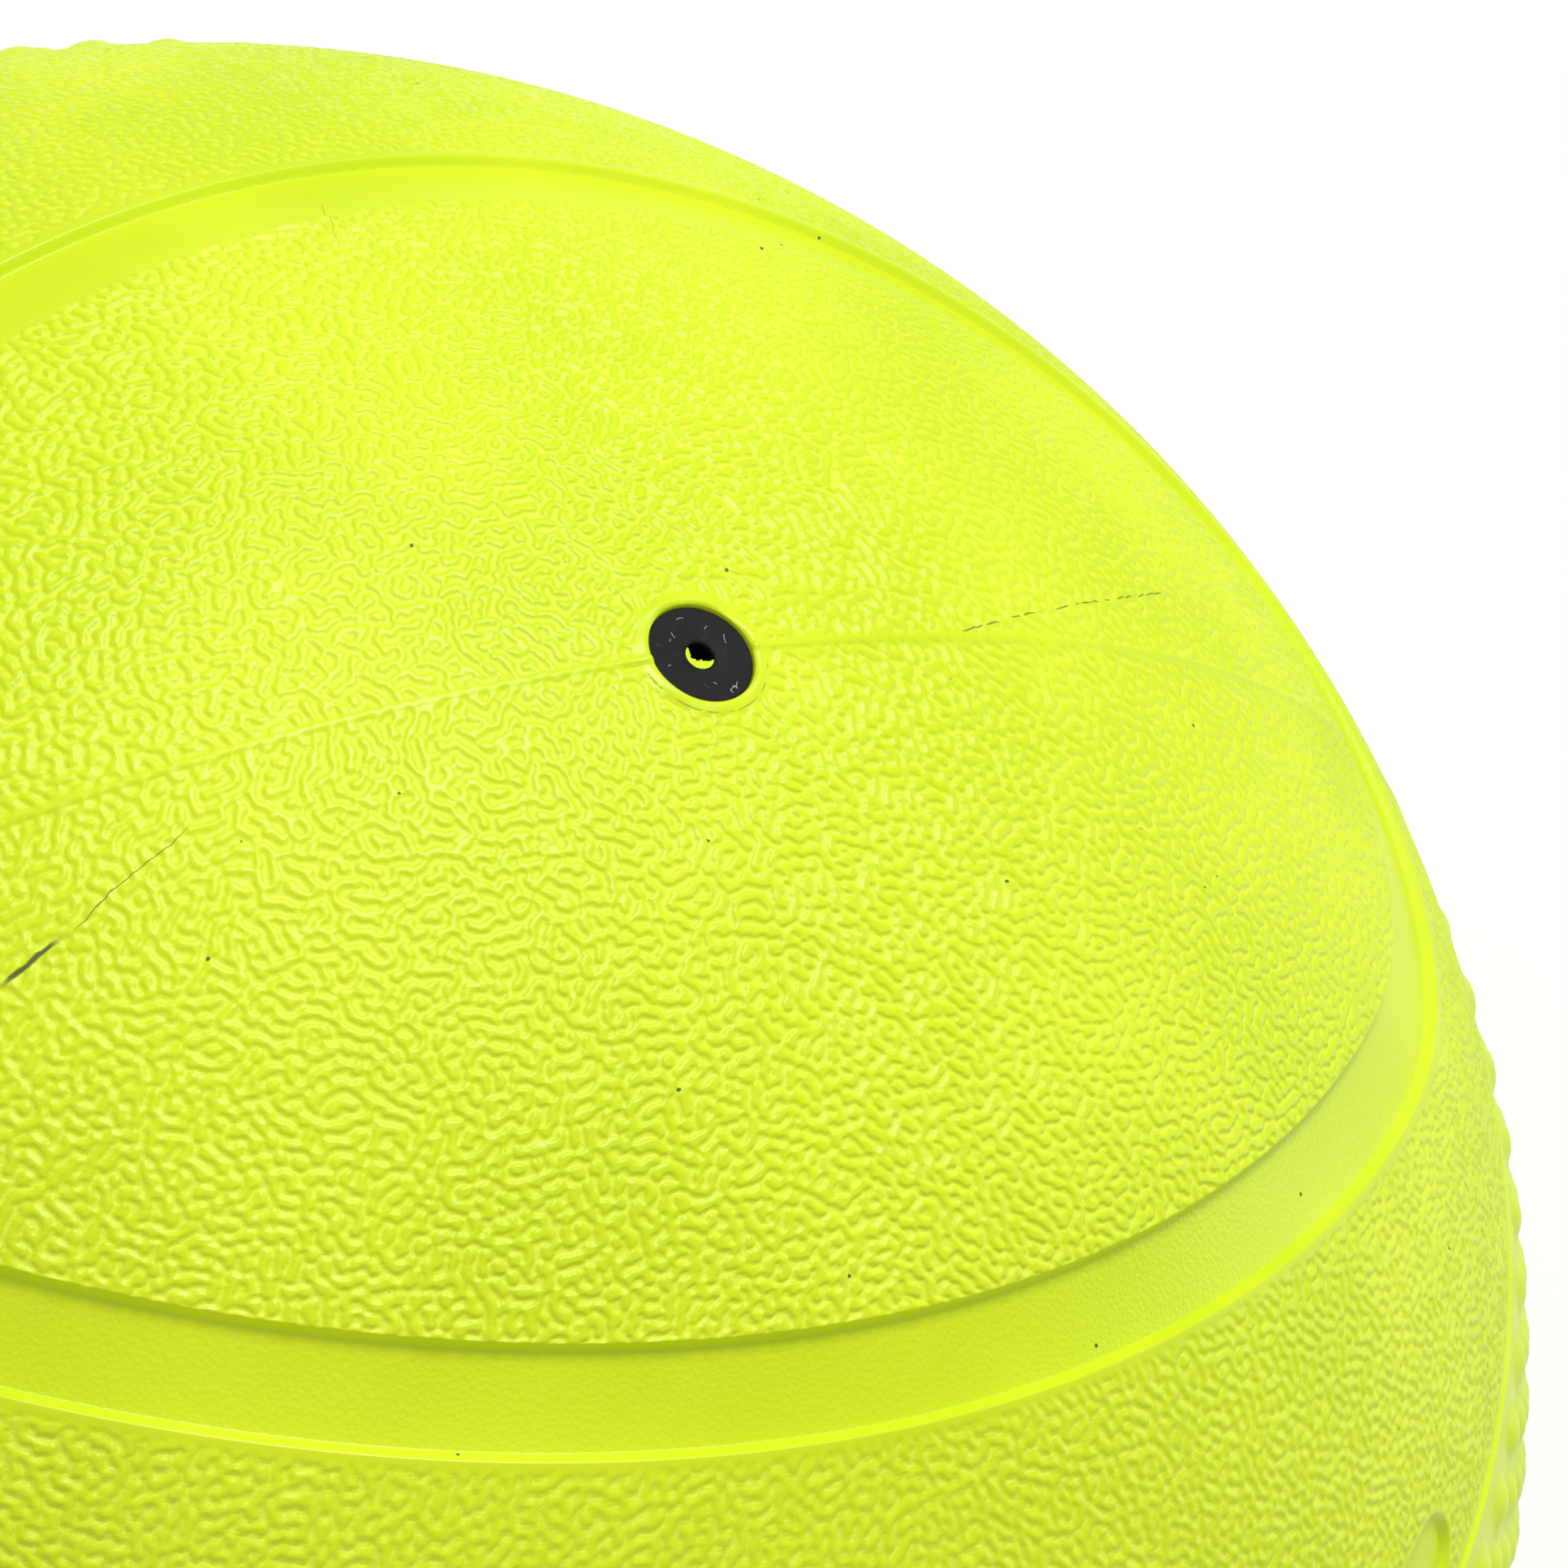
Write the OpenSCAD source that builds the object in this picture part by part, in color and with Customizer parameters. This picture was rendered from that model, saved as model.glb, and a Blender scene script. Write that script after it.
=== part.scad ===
// Inflatable rubber medicine ball with a removable needle valve.
// Millimetres. The origin is the centre of the ball and +Z runs out through the valve.
// The cover halves part in the XZ plane, which is also the mirror plane of the ring channels.

/* [Ball] */
// Diameter over the grained cover
ball_d = 230; // [200:1:260]
// Height of the round bumps on the belt
bump_h = 0.8; // [0.4:0.1:1.2]
// Angle from the valve axis at which the bumped belt starts
belt_start = 55.6; // [55:0.1:62]

/* [Cover pattern] */
// Angle from the valve axis to the ring channel's outer edge, along the parting line
ring_long = 45; // [40:0.1:48]
// The same angle, square to the parting line
ring_short = 29.3; // [26:0.1:36]
// Width of the ring channel, seen along the valve axis
ring_w = 7; // [5:0.5:9]
// Depth of the ring channel
ring_depth = 1.1; // [0.6:0.1:1.6]
// Angle from the valve axis to the round groove beside the belt
groove_angle = 54; // [52:0.1:54.5]
// Width of that groove
groove_w = 1.6; // [1:0.1:2]
// Length of the blank name recess, measured round the valve axis in degrees
label_sweep = 30; // [16:1:40]
// Height of the name recess
label_h = 8; // [5:0.5:9]
// Rubber left between the name recess and the groove
label_gap = 1.5; // [1:0.1:3]
// Depth of the name recess
label_depth = 0.7; // [0.4:0.1:1]

/* [Layers] */
// Thickness of the outer cover
cover_t = 3; // [2.5:0.5:5]
// Thickness of the weighted rubber wall
wall_t = 14; // [10:1:18]
// Thickness of the wound yarn layer
winding_t = 1.6; // [1.2:0.1:3]
// Thickness of the air bladder
bladder_t = 1.2; // [0.8:0.1:2]

/* [Valve] */
// Diameter of the valve plug's face
face_d = 8.3; // [7:0.1:10]
// How far the face lies below the cover
face_drop = 0.3; // [0.2:0.1:0.6]
// Height of the cover's trimmed lip round the face
lip_h = 0.35; // [0.2:0.05:0.6]
// Width of that lip
lip_w = 1.4; // [0.8:0.1:2.5]
// Diameter of the plug's shank below its head
shank_d = 6.4; // [5.5:0.1:6.6]
// Length of the whole plug
plug_len = 25; // [24:1:30]
// Diameter of the needle duct
needle_d = 2.3; // [2.2:0.05:2.6]
// Depth of the needle duct
needle_depth = 20; // [14:1:21]
// Thickness of the valve housing round the plug
housing_t = 2.2; // [1.8:0.1:3]
// Diameter of the housing's flange inside the bladder
flange_d = 32; // [24:1:40]
// Thickness of that flange
flange_t = 1.6; // [1:0.1:2.5]
// Diameter of the patch that ties the housing to the bladder
patch_d = 46; // [42:1:60]
// Thickness of the patch
patch_t = 0.8; // [0.5:0.1:1]
// Radial clearance between the plug and everything round it
plug_clear = 0.08; // [0.05:0.01:0.1]

/* [Hidden] */
$fn = 180;

rubber_green = [0.87, 0.96, 0.22];
rubber_black = [0.17, 0.18, 0.19];

// Radii of the nested layers, from the outside in
cover_r = ball_d / 2;
wall_r = cover_r - cover_t;
winding_r = wall_r - wall_t;
bladder_r = winding_r - winding_t;
cavity_r = bladder_r - bladder_t;
belt_r = cover_r + bump_h;
reach = 2 * ball_d;

// Plan view of the ring channel: an oval of four arcs with the half lengths of its outer edge
ring_a = cover_r * sin(ring_long);
ring_b = cover_r * sin(ring_short);
// End arcs a little rounder than an ellipse's own, by this factor
end_roundness = 1.1;
end_arc = end_roundness * ring_b * ring_b / ring_a;
end_x = ring_a - end_arc;
side_arc = (end_x * end_x + ring_b * ring_b - end_arc * end_arc) / (2 * (ring_b - end_arc));
side_y = side_arc - ring_b;
// Where an end arc meets a side arc, as a direction from either arc's middle
end_turn = atan2(side_y, end_x);
// Straight steps along each end arc and each side arc. Flat steps let the cover build exactly at every size.
end_steps = 29;
side_steps = 37;

// Valve heights on the Z axis
face_r = face_d / 2;
shank_r = shank_d / 2;
hole_r = face_r + plug_clear;
stem_r = hole_r + housing_t;
mouth_z = sqrt(cover_r * cover_r - hole_r * hole_r);
face_z = mouth_z - face_drop;
stem_top = sqrt(wall_r * wall_r - stem_r * stem_r);
// The thick stem ends this far inside the bladder, well under the flange
shoulder_z = cavity_r - 2 * flange_t;
// The head reaches this far into the housing's mouth
head_seat = 2.5;
head_z = stem_top - head_seat;
plug_z = face_z - plug_len;
// Rubber left under the plug in the housing, and the air hole through it
tail_t = 2;
tail_z = plug_z - tail_t;
tail_r = shank_r + plug_clear + housing_t;
air_hole_r = 1.3;

// The name recess: its middle's angle from the valve axis, its half height as an angle, its two ends
degrees_per_mm = 180 / PI / cover_r;
label_angle = groove_angle - (groove_w / 2 + label_gap + label_h / 2) * degrees_per_mm;
label_half = label_h / 2 * degrees_per_mm;
label_end = -48.5;
label_start = label_end - label_sweep;
// Straight steps along each side and each end of the recess
label_steps = 12;

// Points along an arc, without its last point
function arc(x, y, r, from, to, steps) =
    [for (i = [0:steps - 1])
        let (turn = from + (to - from) * i / steps)
        [x + r * cos(turn), y + r * sin(turn)]];

// The oval's plan view in short straight steps, set in from its outer edge
function oval(inset) = concat(
    arc(end_x, 0, end_arc - inset, -end_turn, end_turn, end_steps),
    arc(0, -side_y, side_arc - inset, end_turn, 180 - end_turn, side_steps),
    arc(-end_x, 0, end_arc - inset, 180 - end_turn, 180 + end_turn, end_steps),
    arc(0, side_y, side_arc - inset, 180 + end_turn, 360 - end_turn, side_steps));

// One ring channel, cut square to the plan view
module ring_channel() {
    difference() {
        linear_extrude(reach) polygon(oval(0));
        translate([0, 0, -1]) linear_extrude(reach + 2) polygon(oval(ring_w));
        sphere(r = cover_r - ring_depth);
    }
}

// Round groove beside the belt, a torus cut into the cover
module groove() {
    rotate_extrude()
        translate([cover_r * sin(groove_angle), cover_r * cos(groove_angle)]) circle(r = groove_w / 2);
}

// Direction from the ball's centre to the recess's edge, on the bearing given round a spot of its middle line
function edge_spot(bearing, turn) =
    let (x = sin(label_half) * cos(bearing), y = sin(label_half) * sin(bearing), z = cos(label_half),
         out = x * cos(label_angle) + z * sin(label_angle))
    [out * cos(turn) - y * sin(turn), out * sin(turn) + y * cos(turn), z * cos(label_angle) - x * sin(label_angle)];

// Blank recess with round ends, where a ball of this kind carries its name: a flat-sided solid that points
// at the ball's centre. It starts under the recess's floor and stands proud of the cover.
module name_recess() {
    root = cover_r - 2 * label_depth;
    tip = cover_r + 4 * label_depth;
    edge = concat(
        [for (i = [0:label_steps - 1]) edge_spot(0, label_start + label_sweep * i / label_steps)],
        [for (i = [0:label_steps - 1]) edge_spot(180 * i / label_steps, label_end)],
        [for (i = [0:label_steps - 1]) edge_spot(180, label_end - label_sweep * i / label_steps)],
        [for (i = [0:label_steps - 1]) edge_spot(180 + 180 * i / label_steps, label_start)]);
    n = len(edge);
    middle_turn = (label_start + label_end) / 2;
    middle = [sin(label_angle) * cos(middle_turn), sin(label_angle) * sin(middle_turn), cos(label_angle)];
    difference() {
        polyhedron(
            points = concat([for (spot = edge) root * spot], [for (spot = edge) tip * spot],
                            [root * middle, tip * middle]),
            faces = concat(
                [for (i = [0:n - 1]) [n + i, n + (i + 1) % n, (i + 1) % n, i]],
                [for (i = [0:n - 1]) [2 * n + 1, n + (i + 1) % n, n + i]],
                [for (i = [0:n - 1]) [2 * n, i, (i + 1) % n]]));
        sphere(r = cover_r - label_depth);
    }
}

// The cover whole, before it is parted: a grained sphere with a raised belt and a lip round the valve
module cover() {
    difference() {
        union() {
            sphere(r = cover_r);
            cylinder(r = hole_r + lip_w, h = mouth_z + lip_h);
            intersection() {
                sphere(r = belt_r);
                cylinder(r = reach, h = 2 * cover_r * cos(belt_start), center = true);
            }
        }
        sphere(r = wall_r);
        ring_channel();
        mirror([0, 0, 1]) ring_channel();
        groove();
        mirror([0, 0, 1]) groove();
        name_recess();
        cylinder(r = hole_r, h = reach);
    }
}

// Half of all space, on the side of the origin that the sign gives, along X or Y
module half_space(x, y) {
    translate([x * reach, y * reach, 0]) cube(2 * reach, center = true);
}

// A hollow shell with a round hole for the valve housing's stem
module shell(outer_r, inner_r) {
    difference() {
        sphere(r = outer_r);
        sphere(r = inner_r);
        cylinder(r = stem_r, h = reach);
    }
}

module cover_half_front() {
    color(rubber_green)
        intersection() {
            cover();
            half_space(0, -1);
        }
}

module cover_half_back() {
    color(rubber_green)
        intersection() {
            cover();
            half_space(0, 1);
        }
}

// The wall's own halves part in the YZ plane, a quarter turn from the cover's
module wall_half_left() {
    color([0.2, 0.2, 0.2])
        intersection() {
            shell(wall_r, winding_r);
            half_space(-1, 0);
        }
}

module wall_half_right() {
    color([0.28, 0.28, 0.28])
        intersection() {
            shell(wall_r, winding_r);
            half_space(1, 0);
        }
}

// The patch's own shape, a disc that follows the bladder
module patch_disc() {
    intersection() {
        difference() {
            sphere(r = bladder_r + patch_t);
            sphere(r = bladder_r);
        }
        cylinder(r = patch_d / 2, h = reach);
    }
}

module yarn_winding() {
    color("ivory")
        difference() {
            shell(winding_r, bladder_r);
            patch_disc();
        }
}

module air_bladder() {
    color([0.1, 0.1, 0.1]) shell(bladder_r, cavity_r);
}

module bladder_patch() {
    color([0.35, 0.33, 0.3])
        difference() {
            patch_disc();
            cylinder(r = stem_r, h = reach);
        }
}

// A moulded rubber stem with a flange that is vulcanised inside the bladder
module valve_housing() {
    color([0.22, 0.22, 0.22])
        difference() {
            union() {
                translate([0, 0, shoulder_z]) cylinder(r = stem_r, h = stem_top - shoulder_z);
                translate([0, 0, tail_z]) cylinder(r = tail_r, h = stem_top - tail_z);
                intersection() {
                    difference() {
                        sphere(r = cavity_r);
                        sphere(r = cavity_r - flange_t);
                    }
                    cylinder(r = flange_d / 2, h = reach);
                }
            }
            translate([0, 0, head_z]) cylinder(r = hole_r, h = reach);
            translate([0, 0, plug_z]) cylinder(r = shank_r + plug_clear, h = reach);
            cylinder(r = air_hole_r, h = reach);
        }
}

// The soft insert that takes the needle: a head flush in the cover and a straight shank
module valve_plug() {
    color(rubber_black)
        difference() {
            union() {
                translate([0, 0, head_z]) cylinder(r = face_r, h = face_z - head_z);
                translate([0, 0, plug_z]) cylinder(r = shank_r, h = plug_len);
            }
            translate([0, 0, face_z - needle_depth]) cylinder(r = needle_d / 2, h = needle_depth + 1);
        }
}

cover_half_front();
cover_half_back();
wall_half_left();
wall_half_right();
yarn_winding();
air_bladder();
bladder_patch();
valve_housing();
valve_plug();
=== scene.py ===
# %% [markdown]
# # A grained rubber medicine ball
#
# The object is an inflatable medicine ball of bright yellow-green rubber, 230 mm across. Its cover was
# moulded in two halves that meet on a fine raised parting line, and that line runs straight through
# the black rubber valve. A worm-like grain covers the cap round the valve and the zone below it, a
# smooth oval channel lies between the two, and a belt of round bumps goes round the middle.
#
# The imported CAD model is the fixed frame: it says where the cover, the valve plug and everything
# inside them are. This lesson adds the looks. It is written in cells, to be read from top to bottom.

# %% Load the frame
import math
import bpy
import numpy as np
from mathutils import Matrix, Vector


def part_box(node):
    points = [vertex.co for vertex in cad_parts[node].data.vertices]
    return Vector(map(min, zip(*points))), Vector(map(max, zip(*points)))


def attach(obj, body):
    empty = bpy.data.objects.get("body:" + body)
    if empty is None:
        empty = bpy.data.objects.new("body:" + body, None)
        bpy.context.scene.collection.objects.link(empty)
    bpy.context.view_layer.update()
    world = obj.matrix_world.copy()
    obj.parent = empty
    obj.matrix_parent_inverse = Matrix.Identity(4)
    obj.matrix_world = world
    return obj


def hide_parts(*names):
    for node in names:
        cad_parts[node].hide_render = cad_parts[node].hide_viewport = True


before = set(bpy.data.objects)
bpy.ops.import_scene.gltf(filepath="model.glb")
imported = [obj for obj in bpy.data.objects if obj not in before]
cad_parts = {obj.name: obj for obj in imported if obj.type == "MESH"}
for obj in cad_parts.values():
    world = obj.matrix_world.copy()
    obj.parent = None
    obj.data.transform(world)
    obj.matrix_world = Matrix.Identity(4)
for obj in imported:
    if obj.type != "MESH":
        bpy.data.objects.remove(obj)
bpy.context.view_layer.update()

# %% [markdown]
# ## Sizes
#
# The frame gives the sizes that the solids already have: the ball's radius, the belt's, and the
# plug's face. The pattern on the cover has its own values, named here once in millimetres and
# degrees. The oval channel is a mould maker's oval: two long side arcs and two short end arcs that
# meet smoothly, seen along the valve axis.

# %% Sizes from the frame and of the pattern
MM = 0.001
plug_low, plug_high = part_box("valve_plug")
_, housing_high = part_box("valve_housing")
cover_low, cover_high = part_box("cover_half_front")
BALL_R = -cover_low[2] / MM
BELT_R = cover_high[0] / MM
FACE_R = (plug_high[0] - plug_low[0]) / 2 / MM
FACE_Z = plug_high[2] / MM
PLUG_Z = plug_low[2] / MM
HOUSING_TOP = housing_high[2] / MM
PLUG_CLEARANCE = 0.08
HOLE_R = FACE_R + PLUG_CLEARANCE

RING_LONG = 45.0
RING_SHORT = 29.3
RING_WIDTH = 7.0
RING_DEPTH = 1.1
GROOVE_ANGLE = 54.0
GROOVE_WIDTH = 1.6
GROOVE_DEPTH = 0.75
GRAIN_PITCH = 1.2
GRAIN_DEPTH = 0.22
PLAIN_DEPTH = 0.05
BUMP_COLUMNS = 84
BUMP_ROWS = 34
BUMP_RADIUS = 2.3
BELT_EDGE = 56.0

print(f"ball radius {BALL_R:.2f} mm, belt {BELT_R:.2f} mm, valve face {2 * FACE_R:.2f} mm across")

# %% [markdown]
# ## Deselect first
#
# Operators act on everything that is selected, and the loader leaves the CAD nodes selected. This
# small helper is called before each new piece is begun.

# %% A clean selection
def clear_selection():
    if bpy.context.object and bpy.context.object.mode != "OBJECT":
        bpy.ops.object.mode_set(mode="OBJECT")
    bpy.ops.object.select_all(action="DESELECT")


clear_selection()

# %% [markdown]
# ## Shader maths that reads like maths
#
# A material is a net of nodes. Written with links alone it is hard to read, so one small class wraps
# a socket and turns Python's operators into Math nodes. Colours and vectors go through Mix and Vector
# Math instead, because a Math node would turn a colour grey.

# %% The socket wrapper and the material helper
class Value:
    """A number socket in a shader, with arithmetic."""

    def __init__(self, shader, socket):
        self.shader, self.socket = shader, socket

    def _math(self, operation, first, second=None):
        inputs = {0: first} if second is None else {0: first, 1: second}
        node = self.shader.add("ShaderNodeMath", {"operation": operation}, inputs)
        return Value(self.shader, node.outputs[0])

    def __add__(self, other):
        return self._math("ADD", self, other)

    def __radd__(self, other):
        return self._math("ADD", other, self)

    def __sub__(self, other):
        return self._math("SUBTRACT", self, other)

    def __rsub__(self, other):
        return self._math("SUBTRACT", other, self)

    def __mul__(self, other):
        return self._math("MULTIPLY", self, other)

    def __rmul__(self, other):
        return self._math("MULTIPLY", other, self)

    def __abs__(self):
        return self._math("ABSOLUTE", self)

    def max(self, other):
        return self._math("MAXIMUM", self, other)

    def sine(self):
        return self._math("SINE", self)

    def step(self, low, high):
        """0 below low, 1 above high, smooth between. With low over high it falls instead."""
        falls = low > high
        if falls:
            low, high = high, low
        node = self.shader.add("ShaderNodeMapRange", {"interpolation_type": "SMOOTHSTEP"},
                               {"Value": self, "From Min": low, "From Max": high})
        rise = Value(self.shader, node.outputs["Result"])
        return 1 - rise if falls else rise


class Shader:
    """One material under construction, with a Principled surface."""

    def __init__(self, name, **fixed):
        self.material = bpy.data.materials.new(name)
        self.material.use_nodes = True
        self.nodes = self.material.node_tree.nodes
        self.links = self.material.node_tree.links
        self.surface = self.nodes["Principled BSDF"]
        self.place = self.add("ShaderNodeTexCoord").outputs["Object"]
        for socket, value in fixed.items():
            self.surface.inputs[socket.replace("_", " ")].default_value = value

    def add(self, kind, settings=None, inputs=None):
        """A node of that type, with its settings made first and then its sockets filled or linked."""
        node = self.nodes.new(kind)
        for setting, value in (settings or {}).items():
            setattr(node, setting, value)
        for socket, value in (inputs or {}).items():
            self.feed(node.inputs[socket], value)
        return node

    def feed(self, socket, value):
        if isinstance(value, Value):
            value = value.socket
        if isinstance(value, bpy.types.NodeSocket):
            self.links.new(value, socket)
        else:
            socket.default_value = value

    def noise(self, size_mm, detail=2.0, roughness=0.5):
        """Cloudy noise whose features are about size_mm across, from 0 to 1."""
        inputs = {"Vector": self.place, "Scale": 1 / (size_mm * MM),
                  "Detail": detail, "Roughness": roughness}
        node = self.add("ShaderNodeTexNoise", None, inputs)
        return Value(self, node.outputs[0])

    def cells(self, size_mm):
        """Distance to the nearest of many scattered points, about size_mm apart."""
        node = self.add("ShaderNodeTexVoronoi", {"feature": "F1"},
                        {"Vector": self.place, "Scale": 1 / (size_mm * MM)})
        return Value(self, node.outputs["Distance"])

    def attribute(self, name):
        return Value(self, self.add("ShaderNodeAttribute", {"attribute_name": name}).outputs["Fac"])

    def blend(self, factor, first, second):
        """A colour that goes from first to second as factor goes from 0 to 1."""
        node = self.add("ShaderNodeMix", {"data_type": "RGBA"})
        self.feed(node.inputs[0], factor)
        self.feed(node.inputs[6], first)
        self.feed(node.inputs[7], second)
        return node.outputs[2]

    def dot(self, direction):
        node = self.add("ShaderNodeVectorMath", {"operation": "DOT_PRODUCT"},
                        {0: self.place, 1: direction})
        return Value(self, node.outputs["Value"])

    def set(self, **inputs):
        for socket, value in inputs.items():
            self.feed(self.surface.inputs[socket.replace("_", " ")], value)

    def bump(self, height, strength, depth_mm):
        """Feeds the surface's normal with a bump of that height field."""
        node = self.add("ShaderNodeBump", None, {"Height": height, "Strength": strength,
                                                 "Distance": depth_mm * MM})
        self.feed(self.surface.inputs["Normal"], node.outputs[0])


print("shader helpers ready")

# %% [markdown]
# ## The camera
#
# The camera stands 4.3 ball radii from the ball's centre and looks past it, so the ball fills the
# frame from its lower left corner. It is set by its place, the direction it looks in, which way is up
# in the picture, and a lens.

# %% Place the camera
CAMERA_PLACE = Vector((-1.761, -1.480, 3.645)) * BALL_R * MM
AIM_DIRECTION = Vector((0.5123, 0.3969, -0.7616))
PICTURE_UP = Vector((0.1163, 0.8466, 0.5195))
LENS = 126.7

camera_data = bpy.data.cameras.new("camera")
camera_data.lens = LENS
camera_data.sensor_width = 36.0
camera = bpy.data.objects.new("camera", camera_data)
bpy.context.collection.objects.link(camera)
back = -AIM_DIRECTION.normalized()
right = PICTURE_UP.cross(back).normalized()
up = back.cross(right)
camera.matrix_world = Matrix.Translation(CAMERA_PLACE) @ Matrix((right, up, back)).transposed().to_4x4()
bpy.context.scene.camera = camera
print("camera at", [round(v, 3) for v in CAMERA_PLACE])

# %% [markdown]
# ## Soft studio light on a pale floor
#
# The ball is lit as a shop lights a bright rubber ball: a white room all round, which gives the
# pale sheen where the surface turns away, one large soft box high above that draws the grain out of the
# cover, a weak one to one side, and a pale floor that the ball rests on.

# %% World, lights and floor
world = bpy.data.worlds.new("studio")
bpy.context.scene.world = world
world.use_nodes = True
world.node_tree.nodes["Background"].inputs["Color"].default_value = (1.0, 1.0, 1.0, 1.0)
world.node_tree.nodes["Background"].inputs["Strength"].default_value = 0.44
bpy.context.scene.view_settings.view_transform = "Standard"


def soft_box(name, place, aim, size, watts):
    """A square area light at a place, turned towards a point."""
    data = bpy.data.lights.new(name, "AREA")
    data.size = size
    data.energy = watts
    light = bpy.data.objects.new(name, data)
    bpy.context.collection.objects.link(light)
    light.location = place
    light.rotation_euler = (Vector(aim) - Vector(place)).to_track_quat("-Z", "Y").to_euler()
    return light


soft_box("key", (0.05, 0.42, 1.2), (0, 0, 0), 0.45, 11.3)
soft_box("side", (1.0, -0.1, 0.35), (0, 0, 0), 0.5, 1.5)

clear_selection()
bpy.ops.mesh.primitive_plane_add(size=8.0, location=(0, 0, -BALL_R * MM))
floor = bpy.context.object
floor.name = "floor"
pale = Shader("pale_floor", Roughness=0.85)
pale.set(Base_Color=pale.blend(pale.noise(400), (0.93, 0.93, 0.93, 1), (0.95, 0.95, 0.95, 1)))
floor.data.materials.append(pale.material)

# %% [markdown]
# ## The grain as a height field
#
# The worm-like grain is the hardest thing to get right, because its ridges are all of one width,
# have rounded ends and point every way. A texture of cells or clouds doesn't do that. Instead, noise
# is filtered so that only features of about one size are left, then pushed towards flat tops, and this
# is done again. Each round makes the ridges longer and more even, so only a few rounds are made: the
# real mould was etched, and its worms are short. Fresh noise is mixed in each time to break them up.
# Last, the height is bent so that each worm is round on top and the valleys between are narrow.
#
# The field is a square tile that repeats. It is laid over each cap as a flat map of the cap, with
# distances measured from the valve axis, so the grain is hardly stretched.

# %% Grow the grain
TILE_MM = 224.0
TILE_CELLS = 2048
GRAIN_ROUNDS = 3
GRAIN_SPREAD = 0.5
GRAIN_GAIN = 2.4
GRAIN_OFFSET = 0.2
GRAIN_UNREST = 0.38


def grow_grain(seed, pitch):
    """A tile of ridge heights from 0 to 1 whose ridges lie about one pitch apart."""
    random = np.random.default_rng(seed)
    step = TILE_MM / TILE_CELLS
    across = np.fft.fftfreq(TILE_CELLS, step)[:, None]
    along = np.fft.rfftfreq(TILE_CELLS, step)[None, :]
    waves = np.hypot(across, along) * pitch

    def keep(field, share):
        left = np.fft.irfft2(np.fft.rfft2(field) * share, s=field.shape)
        return left / left.std()

    band = np.exp(-(((waves - 1.0) / GRAIN_SPREAD) ** 2))
    field = random.standard_normal((TILE_CELLS, TILE_CELLS))
    for _ in range(GRAIN_ROUNDS):
        unrest = keep(random.standard_normal((TILE_CELLS, TILE_CELLS)), band)
        field = np.tanh(GRAIN_GAIN * (keep(field, band) - GRAIN_OFFSET)) + GRAIN_UNREST * unrest
    field = keep(field, np.exp(-((waves / 2.6) ** 2)))
    share = np.clip((field + 1.05) / 1.75, 0.0, 1.0)
    return np.sqrt(1.0 - (1.0 - share) ** 2) * ease(share, 0.0, 0.3)


def ease(value, low, high):
    """0 at low, 1 at high, smooth between; low may be the larger of the two."""
    share = np.clip((value - low) / (high - low), 0.0, 1.0)
    return share * share * (3.0 - 2.0 * share)


grain_tile = grow_grain(11, GRAIN_PITCH)
print(f"grain: {TILE_CELLS} cells, {100 * (grain_tile > 0.5).mean():.0f}% of the surface is ridge")


def tile_height(tile, x, y):
    """The tile's height at points x, y in millimetres, read between its cells."""
    u = (x / TILE_MM + 0.5) * TILE_CELLS
    v = (y / TILE_MM + 0.5) * TILE_CELLS
    column, row = np.floor(u).astype(int), np.floor(v).astype(int)
    fx, fy = u - column, v - row
    left, right_side = column % TILE_CELLS, (column + 1) % TILE_CELLS
    low, high = row % TILE_CELLS, (row + 1) % TILE_CELLS
    bottom = tile[low, left] * (1 - fx) + tile[low, right_side] * fx
    top = tile[high, left] * (1 - fx) + tile[high, right_side] * fx
    return bottom * (1 - fy) + top * fy


# %% [markdown]
# ## The oval channel's outline
#
# In plan the oval's edge is found along any direction from the middle by cutting a straight ray with
# the side arc or the end arc. An inset moves the edge inwards and keeps it parallel, because only
# the arcs' radii change.

# %% The oval as arcs
RING_A = BALL_R * math.sin(math.radians(RING_LONG))
RING_B = BALL_R * math.sin(math.radians(RING_SHORT))
END_ROUNDNESS = 1.1
END_ARC = END_ROUNDNESS * RING_B * RING_B / RING_A
END_X = RING_A - END_ARC
SIDE_ARC = (END_X ** 2 + RING_B ** 2 - END_ARC ** 2) / (2 * (RING_B - END_ARC))
SIDE_Y = SIDE_ARC - RING_B


def oval_angle(turn, inset):
    """The angle from the valve axis, in radians, at which the inset oval lies in each direction turn."""
    across, along = np.abs(np.sin(turn)), np.abs(np.cos(turn))
    side, end = SIDE_ARC - inset, END_ARC - inset
    meet = side / (SIDE_ARC - END_ARC)
    meet_turn = math.atan2(SIDE_Y * (meet - 1), END_X * meet)
    on_side = -SIDE_Y * across + np.sqrt(side ** 2 - (SIDE_Y * along) ** 2)
    on_end = END_X * along + np.sqrt(np.maximum(end ** 2 - (END_X * across) ** 2, 0.0))
    plan = np.where(np.arctan2(across, along) < meet_turn, on_end, on_side)
    return np.arcsin(plan / BALL_R)


def oval_distance(x, y):
    """How far plan points lie outside the channel's outer edge, negative inside, in plan millimetres."""
    x, y = np.abs(x), np.abs(y)
    to_end = np.hypot(x - END_X, y) - END_ARC
    to_side = np.hypot(x, y + SIDE_Y) - SIDE_ARC
    return np.where(y * END_X > (x - END_X) * SIDE_Y, to_side, to_end)


print(f"oval channel {2 * RING_A:.1f} x {2 * RING_B:.1f} mm in plan")

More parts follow.
